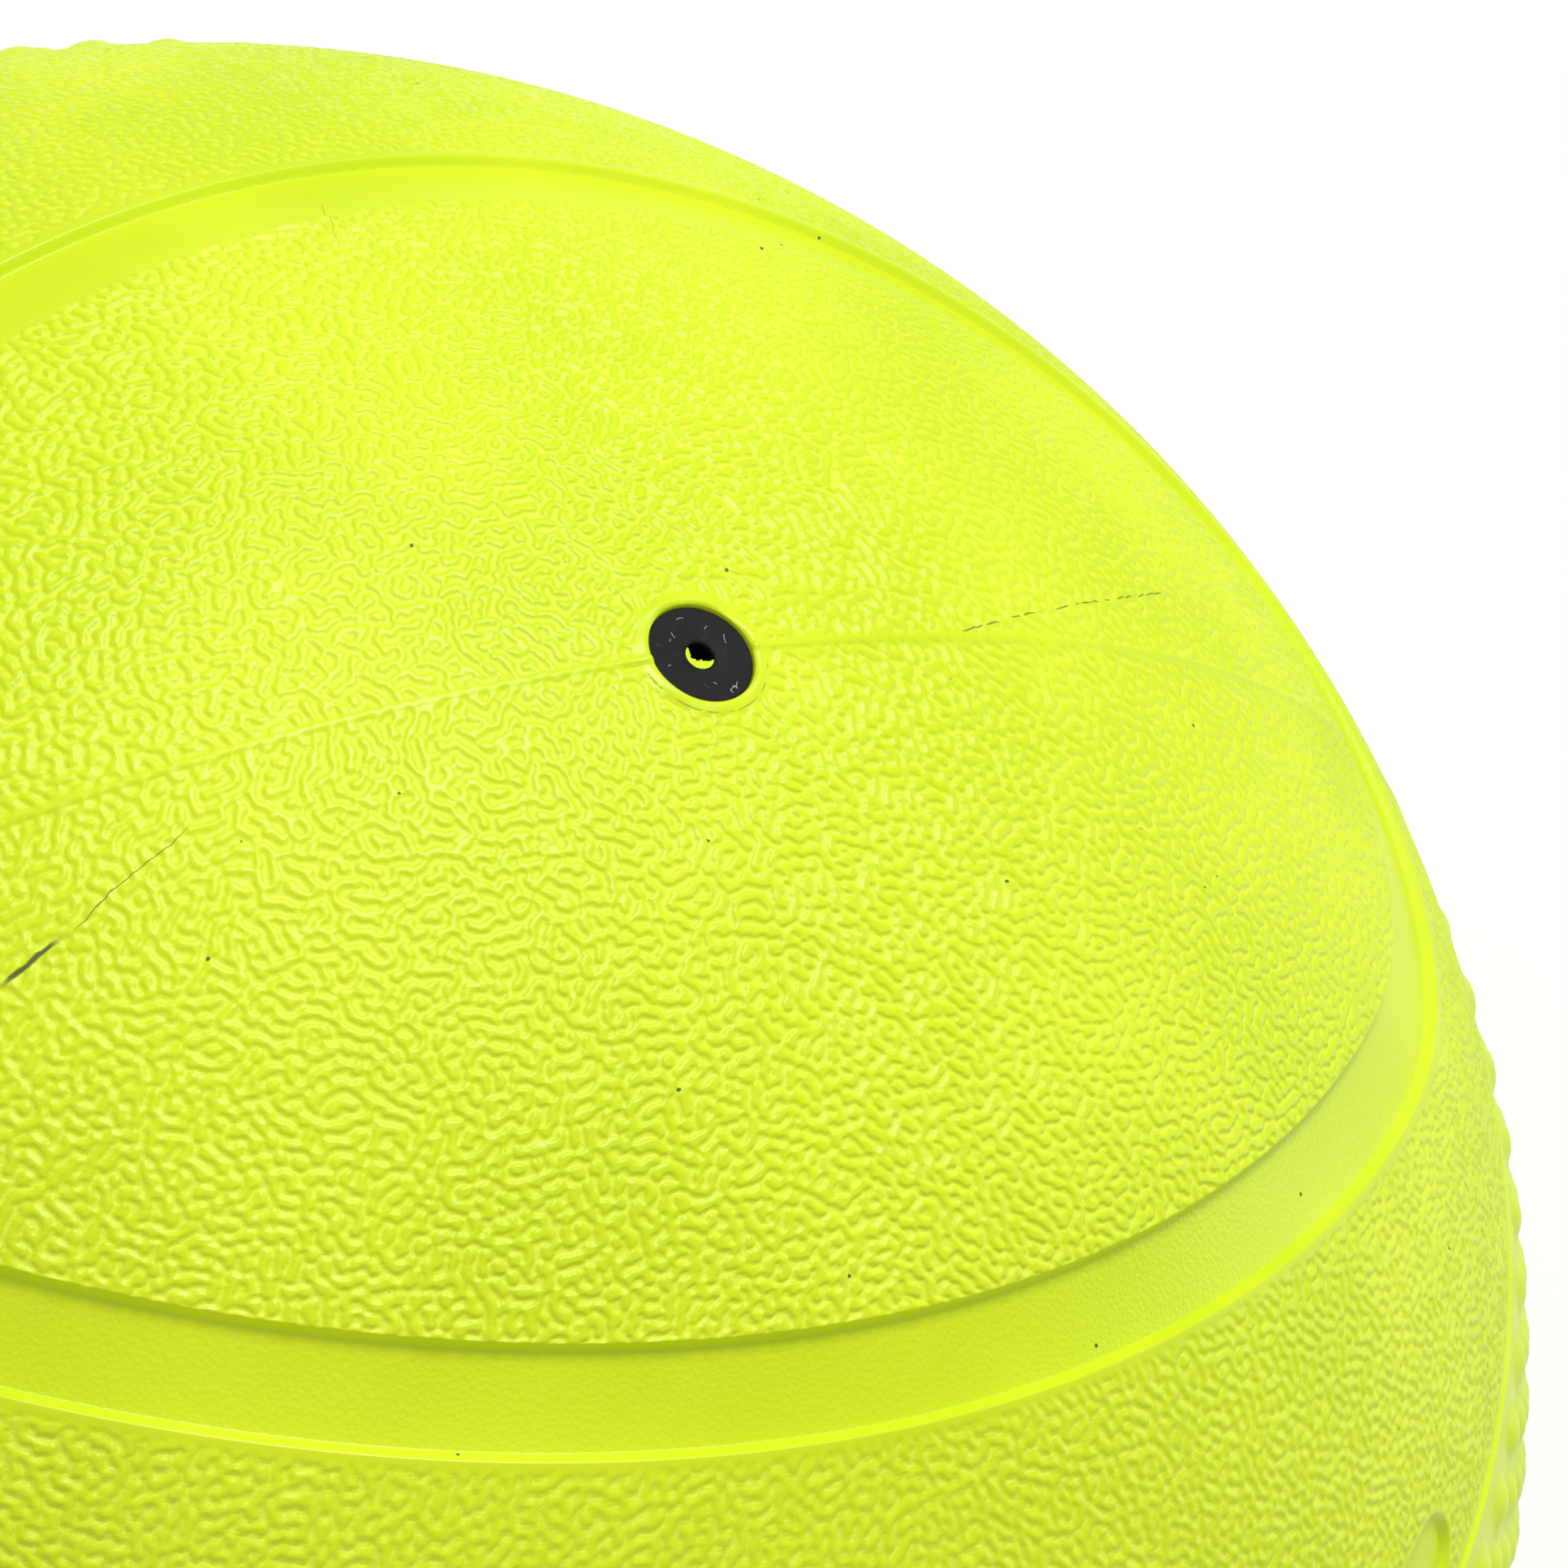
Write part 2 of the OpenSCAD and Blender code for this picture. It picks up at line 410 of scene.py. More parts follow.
# %% [markdown]
# ## One cover, ring by ring
#
# The cover is a skin of fine rings that start at the valve, follow the oval channel's edges exactly,
# become round again at the groove beside the belt and close at the far pole. Rings that follow the
# edges keep those edges crisp, which a plain grid can't. Each ring has a whole number of points in
# every quarter turn, so that the skin can be cut into pieces along the parting line. Neighbouring
# rings are zipped together with triangles even where their numbers of points differ.
#
# A ring is a list of angles from the valve axis, one for each direction. What the surface does
# there, such as grain, channel, groove or bumps, is a depth below the sphere, worked out afterwards
# from the place of each point.

# %% Lay out the rings
HOLE_ANGLE = math.asin(HOLE_R / BALL_R)
LIP_RINGS = 16
LIP_REACH = 3.2
WALL_DEPTHS = [BALL_R - HOUSING_TOP, 2.4, 1.8, 1.2, 0.8, 0.5, 0.3, 0.15]
QUICK = 1.0
FINE = 0.245 * QUICK
COARSE = 0.54 * QUICK

rings = []
ring_zone = []


def quarter_points(widest, spacing):
    """Points in a quarter turn of a ring whose largest plan radius is widest."""
    return max(12, int(round(math.pi / 2 * widest / spacing)))


def turns(points):
    """The directions of a ring's points, from 0 up to a whole turn."""
    return np.arange(4 * points) / (4 * points) * 2 * math.pi


def add_ring(zone, spacing, angle_at):
    """One ring: angle_at gives its angle from the valve axis in radians for an array of directions."""
    probe = angle_at(np.array([0.0, math.pi / 2]))
    points = quarter_points(BALL_R * np.mean(np.sin(probe)) + 0.01, spacing)
    turn = turns(points)
    rings.append((turn, angle_at(turn) * np.ones_like(turn)))
    ring_zone.append(zone)


def blend_rings(zone, spacing, count, first, last, skip_first=False):
    """Rings that go evenly from one outline to another."""
    for i in range(1 if skip_first else 0, count):
        share = i / (count - 1)
        add_ring(zone, spacing, lambda turn: first(turn) * (1 - share) + last(turn) * share)


def circle(angle):
    return lambda turn: angle + 0 * turn


def oval(inset):
    return lambda turn: oval_angle(turn, inset)


def mirrored(outline):
    return lambda turn: math.pi - outline(turn)


EDGE = 0.45
GROOVE_IN = math.radians(GROOVE_ANGLE) - 0.7 * GROOVE_WIDTH / BALL_R
GROOVE_OUT = math.radians(GROOVE_ANGLE) + 0.7 * GROOVE_WIDTH / BALL_R
BELT_IN = math.radians(BELT_EDGE)
LIP_OUT = HOLE_ANGLE + LIP_REACH / BALL_R


def cap_outlines(zone_names, spacing, from_valve):
    """All the rings of one cap as (zone, spacing, number of rings, first outline, last outline)."""
    cap, ring, field = zone_names
    reach = math.radians(RING_LONG) * BALL_R - RING_WIDTH * 1.4
    return [
        (cap, spacing, int(reach / spacing), circle(from_valve), oval(RING_WIDTH + EDGE / 2)),
        (ring, spacing, 10, oval(RING_WIDTH + EDGE / 2), oval(RING_WIDTH - EDGE)),
        (ring, spacing, int(RING_WIDTH * 1.3 / spacing), oval(RING_WIDTH - EDGE), oval(EDGE)),
        (ring, spacing, 10, oval(EDGE), oval(-EDGE / 2)),
        (field, spacing * 1.3, int(math.radians(GROOVE_ANGLE - RING_SHORT) * BALL_R / spacing / 1.25),
         oval(-EDGE / 2), circle(GROOVE_IN)),
    ]


# The wall of the valve's hole, then the lip, then the cap's own zones
for _ in WALL_DEPTHS:
    add_ring("top_cap", FINE * 0.8, circle(HOLE_ANGLE))
blend_rings("top_cap", FINE * 0.8, LIP_RINGS, circle(HOLE_ANGLE), circle(LIP_OUT))
for zone, spacing, count, first, last in cap_outlines(("top_cap", "top_ring", "top_field"), FINE, LIP_OUT):
    blend_rings(zone, spacing, count, first, last, skip_first=True)
BUMP_STEPS = 5
BELT_SPACING = 2 * math.pi * BALL_R / (BUMP_COLUMNS * 2 * BUMP_STEPS) * QUICK
blend_rings("belt", BELT_SPACING, 12, circle(GROOVE_IN), circle(GROOVE_OUT), skip_first=True)
blend_rings("belt", BELT_SPACING, 5, circle(GROOVE_OUT), circle(BELT_IN), skip_first=True)
blend_rings("belt", BELT_SPACING, int(BUMP_ROWS * BUMP_STEPS / QUICK), circle(BELT_IN),
            circle(math.pi - BELT_IN), skip_first=True)
blend_rings("belt", BELT_SPACING, 5, circle(math.pi - BELT_IN), circle(math.pi - GROOVE_OUT),
            skip_first=True)
blend_rings("belt", BELT_SPACING, 12, circle(math.pi - GROOVE_OUT), circle(math.pi - GROOVE_IN),
            skip_first=True)
POLE_ANGLE = 0.25 / BALL_R
low_zones = cap_outlines(("low_cap", "low_ring", "low_field"), COARSE, POLE_ANGLE)
for zone, spacing, count, first, last in reversed(low_zones):
    blend_rings(zone, spacing, count, mirrored(last), mirrored(first), skip_first=True)
print(f"{len(rings)} rings, {sum(len(turn) for turn, _ in rings)} points")

# %% [markdown]
# ## What the surface does at each point
#
# Every feature of the cover is a depth below the ball's own sphere: the grain, the channel's walls
# and its slightly hollow floor, the narrow groove, the blank name recess, the bumps, the fine flash
# on the parting line and the lip round the valve. They are added up here for all points at once.
#
# Two masks are kept as attributes on the mesh for the cover's material. One is how high a point lies
# in the grain, so that crests and valleys can differ in gloss. The other is where the rubber is plain.

# %% Depth and masks
FLASH_HEIGHT = 0.2
RIDGE_HEIGHT = 0.3
LABEL_HALF = 4.0
LABEL_DEPTH = 0.7
LABEL_GAP = 1.5
LABEL_ENDS = (math.radians(-78.5), math.radians(-48.5))
LABEL_ANGLE = math.radians(GROOVE_ANGLE) - (GROOVE_WIDTH / 2 + LABEL_GAP + LABEL_HALF) / BALL_R
LIP_HEIGHT = 0.32
WRINKLE_HEIGHT = 0.14


def label_distance(turn, angle):
    """Millimetres from the middle line of the name recess, measured on the ball."""
    nearest = np.clip((turn + math.pi) % (2 * math.pi) - math.pi, *LABEL_ENDS)
    cosine = (np.cos(angle) * math.cos(LABEL_ANGLE)
              + np.sin(angle) * math.sin(LABEL_ANGLE) * np.cos(turn - nearest))
    return np.arccos(np.clip(cosine, -1.0, 1.0)) * BALL_R


def bump_height(turn, angle):
    """The height of the belt's domes: staggered rows, each with the same number all round."""
    rows = (angle - BELT_IN) / (math.pi - 2 * BELT_IN) * BUMP_ROWS - 0.5
    row_pitch = (math.pi - 2 * BELT_IN) * BALL_R / BUMP_ROWS
    height = np.zeros_like(turn)
    for shift in (-1, 0, 1):
        row = np.rint(rows) + shift
        columns = turn / (2 * math.pi) * BUMP_COLUMNS - 0.5 * (row % 2)
        sideways = (columns - np.rint(columns)) * 2 * math.pi * BALL_R * np.sin(angle) / BUMP_COLUMNS
        away = np.hypot(sideways, (rows - row) * row_pitch) / BUMP_RADIUS
        inside = (row >= 0) & (row < BUMP_ROWS)
        height = np.maximum(height, np.where(inside, np.maximum(1.0 - away ** 2, 0.0) ** 0.75, 0.0))
    return height * (BELT_R - BALL_R)


def skin(turn, angle):
    """Depth below the ball's sphere in millimetres, grain height and plain mask of each point."""
    low = angle > math.pi / 2
    polar = np.where(low, math.pi - angle, angle)
    plan = BALL_R * np.sin(polar)
    plan_x, plan_y = plan * np.cos(turn), plan * np.sin(turn)
    flat_x, flat_y = BALL_R * polar * np.cos(turn), BALL_R * polar * np.sin(turn)
    outside = oval_distance(plan_x, plan_y)
    inside = outside + RING_WIDTH
    groove = np.abs(polar - math.radians(GROOVE_ANGLE)) * BALL_R
    belt = polar > math.radians(GROOVE_ANGLE)

    # Walls of the channel, and a floor that is a little deeper in its middle
    channel = ease(outside, 0.2, -0.4) * ease(inside, -0.15, 0.4)
    across = np.clip((outside / RING_WIDTH + 0.5) * 2, -1.0, 1.0)
    channel_depth = channel * (RING_DEPTH - 0.25 * across ** 2)

    # The blank name recess is on the upper side of the ball only
    label = np.where(low, 99.0, label_distance(turn, polar))
    recess = ease(label, LABEL_HALF + 0.1, LABEL_HALF - 0.5)

    # Where there is grain: up to the channel on the cap's side, with a plain rim on the far side
    seam = np.abs(plan_y)
    grained = ease(inside, 0.1, -0.35) + ease(outside, 0.55, 1.2)
    grained = grained * ease(groove, 1.1, 1.7) * ease(label, LABEL_HALF + 0.2, LABEL_HALF + 0.9)
    grained = np.where(belt, 0.0, grained * ease(seam, 0.15, 0.5))
    grained = np.where(low, grained, grained * ease(plan, HOLE_R + 0.9, HOLE_R + 1.5))
    height = tile_height(grain_tile, flat_x + np.where(low, 61.3, 0.0), flat_y)
    grain_depth = GRAIN_DEPTH * (1.0 - height) * grained + PLAIN_DEPTH * (1.0 - grained)
    grain_depth = np.where(belt, 0.0, grain_depth)

    # The fine flash on the parting line, and the soft broad ridge it becomes beyond the valve
    flash = FLASH_HEIGHT * np.maximum(1.0 - (seam / 0.32) ** 2, 0.0) * (1.0 - channel) * ~belt
    swell = RIDGE_HEIGHT * ease(plan_x, 24.0, 48.0) * np.exp(-(plan_y / 2.4) ** 2) * ease(inside, 0.0, -4.0)

    # The groove beside the belt, and the belt's bumps
    groove_depth = GROOVE_DEPTH * np.maximum(1.0 - (groove / (GROOVE_WIDTH / 2)) ** 2, 0.0) ** 0.6
    bumps = np.where(belt, bump_height(turn, angle), 0.0)

    # The trimmed lip round the valve is uneven, as cut rubber is
    wobble = 0.6 + 0.4 * np.sin(5 * turn + 1.3) * np.sin(2 * turn + 0.4)
    lip = np.where(low, 0.0, LIP_HEIGHT * wobble * ease(plan, HOLE_R + 1.3, HOLE_R + 0.4)
                   * ease(plan, HOLE_R - 0.1, HOLE_R + 0.25))

    # Low wrinkles in the cover beyond the valve, where the rubber was pulled as it cooled
    wrinkle = np.maximum(np.sin(7 * turn + 2.3 * np.sin(3 * turn) + 2.6 * plan), 0.0)
    wrinkle = np.where(low, 0.0, WRINKLE_HEIGHT * wrinkle * np.maximum(np.sin(turn), 0.0)
                       * ease(plan, HOLE_R + 0.9, HOLE_R + 1.6) * ease(plan, HOLE_R + 4.5, HOLE_R + 2.5))

    depth = grain_depth + channel_depth + recess * LABEL_DEPTH + groove_depth
    depth = depth - np.minimum(flash, depth + 0.12) - swell * 0.5 - bumps - lip - wrinkle
    plain = np.maximum(channel, np.maximum(recess, ease(groove, 1.2, 0.8)))
    return depth, np.where(grained > 0.02, 1.0 - (1.0 - height) * grained, 1.0), plain


# %% [markdown]
# ## Zip the rings and cut the skin into pieces
#
# The points of two neighbouring rings are joined in the order in which their steps come round, so
# every triangle is close to even. The rings' shared points at the four quarters stay joined, which
# keeps the parting line straight. A real cover is two mouldings, so the skin is cut along the parting
# line, and each half again at the channel and the belt, because a mesh of millions of triangles in one
# piece is slow to use. Normals are worked out before the cut, so that no cut shows.

# %% Build the skin of the whole ball
def zip_quarter(start_a, count_a, start_b, count_b):
    """Triangles between a quarter of ring a and a quarter of ring b, given their points' numbers."""
    step_a = (np.arange(count_a) + 0.5) / count_a
    step_b = (np.arange(count_b) + 0.5) / count_b
    at_b = np.searchsorted(step_b, step_a, side="left")
    at_a = np.searchsorted(step_a, step_b, side="right")
    along_a = np.stack([start_a[:-1], start_b[at_b], start_a[1:]], axis=1)
    along_b = np.stack([start_b[:-1], start_b[1:], start_a[at_a]], axis=1)
    return np.concatenate([along_a, along_b])


ring_turn = np.concatenate([turn for turn, _ in rings])
ring_angle = np.concatenate([angle for _, angle in rings])
ring_start = np.cumsum([0] + [len(turn) for turn, _ in rings])
depth, crest, plain = skin(ring_turn, ring_angle)

# The wall of the valve's hole goes straight down to the housing
for i, sink in enumerate(WALL_DEPTHS):
    wall = slice(ring_start[i], ring_start[i + 1])
    depth[wall] = sink
    ring_angle[wall] = math.asin(HOLE_R / (BALL_R - sink))
    plain[wall] = 1.0

radius = (BALL_R - depth) * MM
points = np.stack([radius * np.sin(ring_angle) * np.cos(ring_turn),
                   radius * np.sin(ring_angle) * np.sin(ring_turn),
                   radius * np.cos(ring_angle)], axis=1)
pole = len(points)
points = np.vstack([points, [[0.0, 0.0, -BALL_R * MM]]])
crest, plain = np.append(crest, 0.5), np.append(plain, 0.0)

triangles = []
triangle_piece = []
for i in range(len(rings) - 1):
    size_a, size_b = len(rings[i][0]), len(rings[i + 1][0])
    for quarter in range(4):
        pick_a = np.arange(size_a // 4 + 1) + quarter * size_a // 4
        pick_b = np.arange(size_b // 4 + 1) + quarter * size_b // 4
        found = zip_quarter(ring_start[i] + pick_a % size_a, size_a // 4,
                            ring_start[i + 1] + pick_b % size_b, size_b // 4)
        triangles.append(found)
        triangle_piece.append((ring_zone[i + 1], quarter, len(found)))
size = len(rings[-1][0])
for quarter in range(4):
    pick = np.arange(size // 4 + 1) + quarter * size // 4
    edge = ring_start[-2] + pick % size
    found = np.stack([edge[:-1], np.full(size // 4, pole), edge[1:]], axis=1)
    triangles.append(found)
    triangle_piece.append((ring_zone[-1], quarter, len(found)))
triangles = np.concatenate(triangles)
print(f"skin: {len(points)} points, {len(triangles)} triangles")

face_normals = np.cross(points[triangles[:, 1]] - points[triangles[:, 0]],
                        points[triangles[:, 2]] - points[triangles[:, 0]])
outward = np.einsum("ij,ij->i", face_normals, points[triangles[:, 0]])
print(f"{100 * (outward > 0).mean():.1f}% of the triangles face outwards")
point_normals = np.zeros_like(points)
for corner in range(3):
    for axis in range(3):
        point_normals[:, axis] += np.bincount(triangles[:, corner], face_normals[:, axis], len(points))
point_normals /= np.linalg.norm(point_normals, axis=1, keepdims=True)


def skin_piece(name, node, chosen):
    """A mesh object of the chosen triangles that keeps the whole skin's normals and masks."""
    used, corners = np.unique(triangles[chosen], return_inverse=True)
    corners = corners.astype(np.int32).ravel()
    mesh = bpy.data.meshes.new(name)
    mesh.vertices.add(len(used))
    mesh.vertices.foreach_set("co", points[used].ravel())
    mesh.loops.add(len(corners))
    mesh.loops.foreach_set("vertex_index", corners)
    mesh.polygons.add(len(corners) // 3)
    mesh.polygons.foreach_set("loop_start", np.arange(0, len(corners), 3, dtype=np.int32))
    mesh.update(calc_edges=True)
    for attribute, values in (("crest", crest), ("plain", plain)):
        mesh.attributes.new(attribute, "FLOAT", "POINT").data.foreach_set("value", values[used])
    mesh.normals_split_custom_set_from_vertices(point_normals[used])
    piece = bpy.data.objects.new(name, mesh)
    bpy.context.collection.objects.link(piece)
    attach(piece, "ball")
    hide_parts(node)
    return piece


# Zones cut into halves and, where they are large, quarters
CUTS = {"top_cap": 4, "top_ring": 2, "top_field": 4, "belt": 4, "low_cap": 2, "low_ring": 2, "low_field": 2}
HALF_NODES = ["cover_half_back", "cover_half_front"]
counts = [count for _, _, count in triangle_piece]
zone_of = np.repeat([zone for zone, _, _ in triangle_piece], counts)
quarter_of = np.repeat([quarter for _, quarter, _ in triangle_piece], counts)
cover_pieces = []
for zone, cuts in CUTS.items():
    for part in range(cuts):
        side = quarter_of * cuts // 4
        chosen = (zone_of == zone) & (side == part)
        node = HALF_NODES[part * 2 // cuts]
        name = f"{zone}_{part + 1}"
        cover_pieces.append(skin_piece(name, node, chosen))
        print(f"{name}: {int(chosen.sum())} triangles, stands for {node}")

# %% [markdown]
# ## Bright rubber for the cover
#
# The rubber is dyed through and looks slightly fluorescent: its own colour is also given off as a weak
# painted glow, which lifts its shadows, so that they stay yellow and never turn grey. The worms are
# glossy on top, the valleys between are pale and dull, and a very fine speckle on all of it breaks up
# the shine. The channel has a finer grain of its own, like leather. Dirt collects in a few pinholes, a
# few fine cracks run over the cap, and a broken dark line of painted shade lies at the foot of the
# valve's lip on its near side. A crack is where a wavering plane through the ball's centre meets the
# surface, and it is faded out at both ends.

# %% The cover's material
COVER_LIGHT = (0.60, 0.735, 0.010, 1.0)
COVER_BASE = (0.53, 0.675, 0.004, 1.0)
COVER_PALE = (0.70, 0.80, 0.06, 1.0)
# The dark of dirt, also used for the painted shade at the foot of the valve's lip
DIRT_AND_SHADE = (0.10, 0.12, 0.03, 1.0)

cover = Shader("cover_rubber", IOR=1.43)
crest_height = cover.attribute("crest")
plain_mask = cover.attribute("plain")
patches = cover.noise(26, detail=3.0)
speckle = cover.noise(0.28, detail=2.0, roughness=0.6)
leather = cover.cells(0.42)


def unit(x, y, z):
    length = math.sqrt(x * x + y * y + z * z)
    return (x / length, y / length, z / length)


def crack(start, end, width_mm, waver_mm, breaks=None):
    """A mask that is 1 on a fine line over the ball from one direction to another."""
    start, end = Vector(unit(*start)), Vector(unit(*end))
    normal = start.cross(end).normalized()
    forward = (end - start).normalized()
    middle = ((start + end) / 2).normalized()
    waver = (cover.noise(4.0, detail=4.0) - 0.5) * (2 * waver_mm * MM)
    off_line = abs(cover.dot(normal) + waver)
    half_length = (end - start).length / 2 * BALL_R
    along = abs(cover.dot(forward) - forward.dot(middle) * BALL_R * MM)
    near = cover.dot(middle).step(0.5 * BALL_R * MM, 0.55 * BALL_R * MM)
    line = off_line.step(width_mm * MM, 0.35 * width_mm * MM)
    line = line * along.step(half_length * MM, (half_length - 1.5) * MM) * near
    if breaks:
        line = line * cover.noise(breaks, detail=1.0).step(0.42, 0.5)
    return line


cracks = crack((0.194, 0.001, 0.981), (0.453, 0.064, 0.889), 0.10, 0.35, breaks=1.6) * 0.75
cracks = cracks.max(crack((-0.480, -0.101, 0.872), (-0.436, -0.082, 0.896), 0.24, 0.5))
cracks = cracks.max(crack((-0.436, -0.082, 0.896), (-0.349, -0.041, 0.936), 0.06, 0.7) * 0.7)
cracks = cracks.max(crack((-0.066, 0.457, 0.887), (-0.085, 0.398, 0.913), 0.05, 0.3) * 0.4)
pin_places = cover.cells(6.0)
pinholes = pin_places.step(0.034, 0.020)

# A broken dark line of painted shade round the foot of the valve's lip, on its near side
valve_x, valve_y = cover.dot((1.0, 0.0, 0.0)), cover.dot((0.0, 1.0, 0.0))
from_valve = valve_x * valve_x + valve_y * valve_y
foot = [((HOLE_R + reach) * MM) ** 2 for reach in (0.86, 0.95, 1.04)]
lip_foot_shade = from_valve.step(foot[0], foot[1]) * from_valve.step(foot[2], foot[1])
lip_foot_shade = lip_foot_shade * valve_y.step(0.5 * MM, -1.5 * MM) * cover.noise(1.3, detail=3.0).step(0.42, 0.52)
lip_foot_shade = lip_foot_shade * cover.dot((0.0, 0.0, 1.0)).step(0.5 * BALL_R * MM, 0.6 * BALL_R * MM)
# Dirt in the cracks and pinholes, and the painted shade at the foot of the valve's lip
dirt_and_lip_shade = cracks.max(pinholes).max(lip_foot_shade * 0.55)

# Valleys are pale and dull, worms deeper in colour and glossy, plain rubber between the two
valley = crest_height.step(0.45, 0.05)
tone = cover.blend(patches.step(0.3, 0.7), COVER_BASE, COVER_LIGHT)
tone = cover.blend(valley * (0.35 + speckle * 0.4), tone, COVER_PALE)
# Dirt and the painted shade at the lip's foot darken the colour
tone = cover.blend(dirt_and_lip_shade, tone, DIRT_AND_SHADE)
shine = 0.30 + valley * 0.16 + speckle * 0.16 + dirt_and_lip_shade * 0.4
fine = speckle * (0.35 + valley * 0.5) + plain_mask * leather * 0.9 - dirt_and_lip_shade * 2.0
# The cover's own colour is also given off as a weak painted glow, which lifts its shade
cover.set(Base_Color=tone, Roughness=shine, Emission_Color=tone, Emission_Strength=0.16)
cover.bump(fine, 0.6, 0.07)
for piece in cover_pieces:
    piece.data.materials.append(cover.material)

# %% [markdown]
# ## The valve plug
#
# The valve is a soft black plug that sits in a hole in the cover, and a needle goes in through its
# middle. Only its flat face shows, with a softened edge and a fine needle hole. It is made from one
# cylinder: the face is inset to mark the hole, the hole is extruded downwards, and the rims are
# bevelled. The shank below is narrower, so the bottom face is inset too and pulled down.

# %% Shape the plug
NEEDLE_R = 1.15
NEEDLE_DEPTH = 20.0
SHANK_R = 3.2
HEAD_SEAT = 2.5
HEAD_HEIGHT = FACE_Z - (HOUSING_TOP - HEAD_SEAT)


def select_faces(mesh, test):
    """In edit mode, selects just the faces for which test(centre in mm, normal) holds."""
    bpy.ops.object.mode_set(mode="OBJECT")
    for vertex in mesh.vertices:
        vertex.select = False
    for edge in mesh.edges:
        edge.select = False
    for face in mesh.polygons:
        face.select = bool(test(face.center / MM, face.normal))
    bpy.ops.object.mode_set(mode="EDIT")
    bpy.ops.mesh.select_mode(type="FACE")


def set_place(piece):
    """Moves the object's place into its mesh, as the CAD nodes have theirs."""
    bpy.ops.object.mode_set(mode="OBJECT")
    bpy.ops.object.transform_apply(location=True, rotation=True, scale=True)


clear_selection()
bpy.ops.mesh.primitive_cylinder_add(vertices=96, radius=FACE_R * MM, depth=HEAD_HEIGHT * MM,
                                    location=(0, 0, (FACE_Z - HEAD_HEIGHT / 2) * MM))
plug = bpy.context.object
plug.name = "valve_insert"
set_place(plug)
bpy.ops.object.mode_set(mode="EDIT")
select_faces(plug.data, lambda centre, normal: normal.z < -0.9)
bpy.ops.mesh.inset(thickness=(FACE_R - SHANK_R) * MM)
shank_drop = (PLUG_Z - FACE_Z + HEAD_HEIGHT) * MM
bpy.ops.mesh.extrude_region_move(TRANSFORM_OT_translate={"value": (0, 0, shank_drop)})
select_faces(plug.data, lambda centre, normal: normal.z > 0.9)
for rim in (0.16, 1.3):
    bpy.ops.mesh.inset(thickness=rim * MM)
bpy.ops.mesh.inset(thickness=(FACE_R - 1.46 - NEEDLE_R - 0.3) * MM)
bpy.ops.transform.translate(value=(0, 0, -0.05 * MM))
bpy.ops.mesh.inset(thickness=0.3 * MM)
bpy.ops.transform.translate(value=(0, 0, -0.12 * MM))
bpy.ops.mesh.extrude_region_move(TRANSFORM_OT_translate={"value": (0, 0, -0.5 * MM)})
bpy.ops.mesh.extrude_region_move(TRANSFORM_OT_translate={"value": (0, 0, -(NEEDLE_DEPTH - 0.7) * MM)})
bpy.ops.object.mode_set(mode="OBJECT")
rim_bevel = plug.modifiers.new("rims", "BEVEL")
rim_bevel.width = 0.12 * MM
rim_bevel.segments = 3
rim_bevel.limit_method = "ANGLE"
rim_bevel.angle_limit = math.radians(50)
bpy.ops.object.modifier_apply(modifier="rims")
bpy.ops.object.shade_smooth_by_angle(angle=math.radians(35))
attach(plug, "plug")
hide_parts("valve_plug")
print(f"plug: {len(plug.data.polygons)} faces, {2 * FACE_R:.1f} mm across, {FACE_Z - PLUG_Z:.0f} mm long")

# %% [markdown]
# ## Torn flash in the needle hole
#
# When the cover is moulded a skin of the bright rubber creeps over the valve, and the first needle
# tears it. A ragged crescent of it is left inside the hole on one side. It is a thin ring of a few
# wedges: a small grid is bent round part of a circle, its inner points are pulled in by listed amounts,
# Solidify gives it a thickness and a subdivision smooths it.

# %% The torn crescent
TEAR_REACH = (0.10, 0.34, 0.55, 0.38, 0.50, 0.80, 0.62, 0.98, 0.70, 1.08, 0.52, 0.86, 0.30, 0.12)
TEAR_FROM = math.radians(128)
TEAR_TO = math.radians(338)
clear_selection()
bpy.ops.mesh.primitive_grid_add(x_subdivisions=len(TEAR_REACH) - 1, y_subdivisions=2, size=1.0)
tear = bpy.context.object
tear.name = "needle_flash"
for vertex in tear.data.vertices:
    place = (vertex.co.x + 0.5) * (len(TEAR_REACH) - 1)
    turn = TEAR_FROM + (vertex.co.x + 0.5) * (TEAR_TO - TEAR_FROM)
    inward = vertex.co.y + 0.5
    reach = NEEDLE_R - 0.02 - inward * TEAR_REACH[int(round(place))]
    sink = 0.16 + 0.10 * inward + 0.07 * inward * math.sin(5 * turn)
    vertex.co = Vector((reach * math.cos(turn), reach * math.sin(turn), FACE_Z - sink)) * MM
bpy.ops.object.mode_set(mode="EDIT")
bpy.ops.mesh.select_all(action="SELECT")
bpy.ops.mesh.normals_make_consistent(inside=False)
bpy.ops.object.mode_set(mode="OBJECT")
thick = tear.modifiers.new("thick", "SOLIDIFY")
thick.thickness = 0.12 * MM
bpy.ops.object.modifier_apply(modifier="thick")
smooth = tear.modifiers.new("smooth", "SUBSURF")
smooth.levels = 2
smooth.render_levels = 2
bpy.ops.object.modifier_apply(modifier="smooth")
bpy.ops.object.shade_smooth()
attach(tear, "plug")
tear.data.materials.append(cover.material)
for attribute, value in (("crest", 0.8), ("plain", 0.6)):
    layer = tear.data.attributes.new(attribute, "FLOAT", "POINT")
    layer.data.foreach_set("value", [value] * len(tear.data.vertices))
print(f"torn flash: {len(tear.data.polygons)} faces")

# %% [markdown]
# ## Black valve rubber
#
# The valve is a soft, dull black rubber. Close up it is dark grey with a fine powdery bloom, a few
# pale scuffs, and cloudy patches where it has been wiped.

